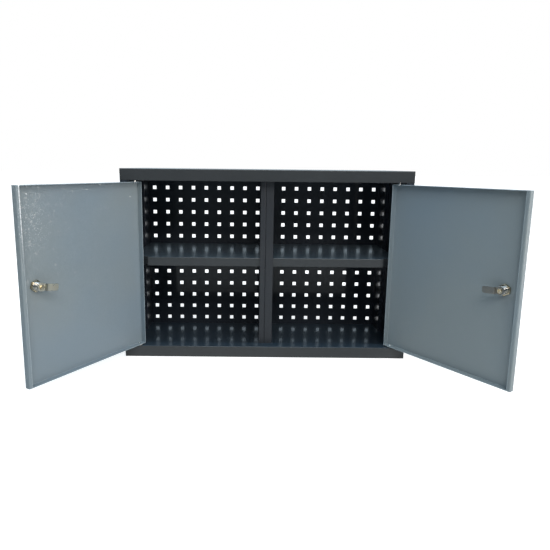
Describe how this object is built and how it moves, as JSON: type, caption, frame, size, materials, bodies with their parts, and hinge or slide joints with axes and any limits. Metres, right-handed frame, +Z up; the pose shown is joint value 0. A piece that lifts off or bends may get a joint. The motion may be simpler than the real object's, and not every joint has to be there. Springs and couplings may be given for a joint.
{
  "type": "tool cabinet with doors",
  "caption": "Sheet-steel tool cabinet with a perforated back, a centre divider, shelves and hinged doors with cam locks.",
  "frame": {"origin": "middle of the cabinet's underside, between the front lips and the back panel", "axes": "+X to the right across the front, +Y towards the back panel, +Z up; the doors open towards -Y"},
  "size_m": [0.9914, 0.547, 0.47],
  "materials": {
    "body_paint": "semi-gloss anthracite powder coat",
    "door_paint": "satin blue-grey powder coat with a fine orange peel",
    "bright_plate": "bright nickel plate",
    "dull_zinc": "dull zinc plate",
    "yellow_zinc": "zinc plate with yellow passivation",
    "nylon": "natural nylon"
  },
  "bodies": {
    "cabinet": {"top_panel": "body_paint", "bottom_panel": "body_paint", "left_side_panel": "body_paint", "right_side_panel": "body_paint", "back_panel": "body_paint", "left_rear_post": "body_paint", "right_rear_post": "body_paint", "divider_left_half": "body_paint", "divider_right_half": "body_paint", "left_shelf": "body_paint", "right_shelf": "body_paint", "left_shelf_clips": "dull_zinc", "right_shelf_clips": "dull_zinc", "left_hinge_bushes": "nylon", "right_hinge_bushes": "nylon", "left_hinge_washer": "dull_zinc", "right_hinge_washer": "dull_zinc"},
    "left_door_body": {"left_door": "door_paint", "left_upper_hinge_pin": "bright_plate", "left_lower_hinge_pin": "bright_plate", "left_lock_body": "bright_plate", "left_lock_nut": "yellow_zinc"},
    "right_door_body": {"right_door": "door_paint", "right_upper_hinge_pin": "bright_plate", "right_lower_hinge_pin": "bright_plate", "right_lock_body": "bright_plate", "right_lock_nut": "yellow_zinc"},
    "left_cam_body": {"left_lock_plug": "bright_plate", "left_cam": "dull_zinc", "left_cam_screw": "yellow_zinc"},
    "right_cam_body": {"right_lock_plug": "bright_plate", "right_cam": "dull_zinc", "right_cam_screw": "yellow_zinc"}
  },
  "joints": [
    {"name": "left_door_swing", "type": "hinge", "parent": "cabinet", "child": "left_door_body", "pos_m": [-0.319, -0.132, 0.236], "axis": [0, 0, 1], "range_deg": [-8, 122]},
    {"name": "right_door_swing", "type": "hinge", "parent": "cabinet", "child": "right_door_body", "pos_m": [0.319, -0.132, 0.236], "axis": [0, 0, 1], "range_deg": [-124.5, 5.5]},
    {"name": "left_lock_turn", "type": "hinge", "parent": "left_door_body", "child": "left_cam_body", "pos_m": [-0.45959, -0.37491, 0.236], "axis": [-0.848, 0.5299, 0], "range_deg": [-9, 171]},
    {"name": "right_lock_turn", "type": "hinge", "parent": "right_door_body", "child": "right_cam_body", "pos_m": [0.47005, -0.36855, 0.236], "axis": [-0.8241, -0.5664, 0], "range_deg": [-4, 176]}
  ]
}
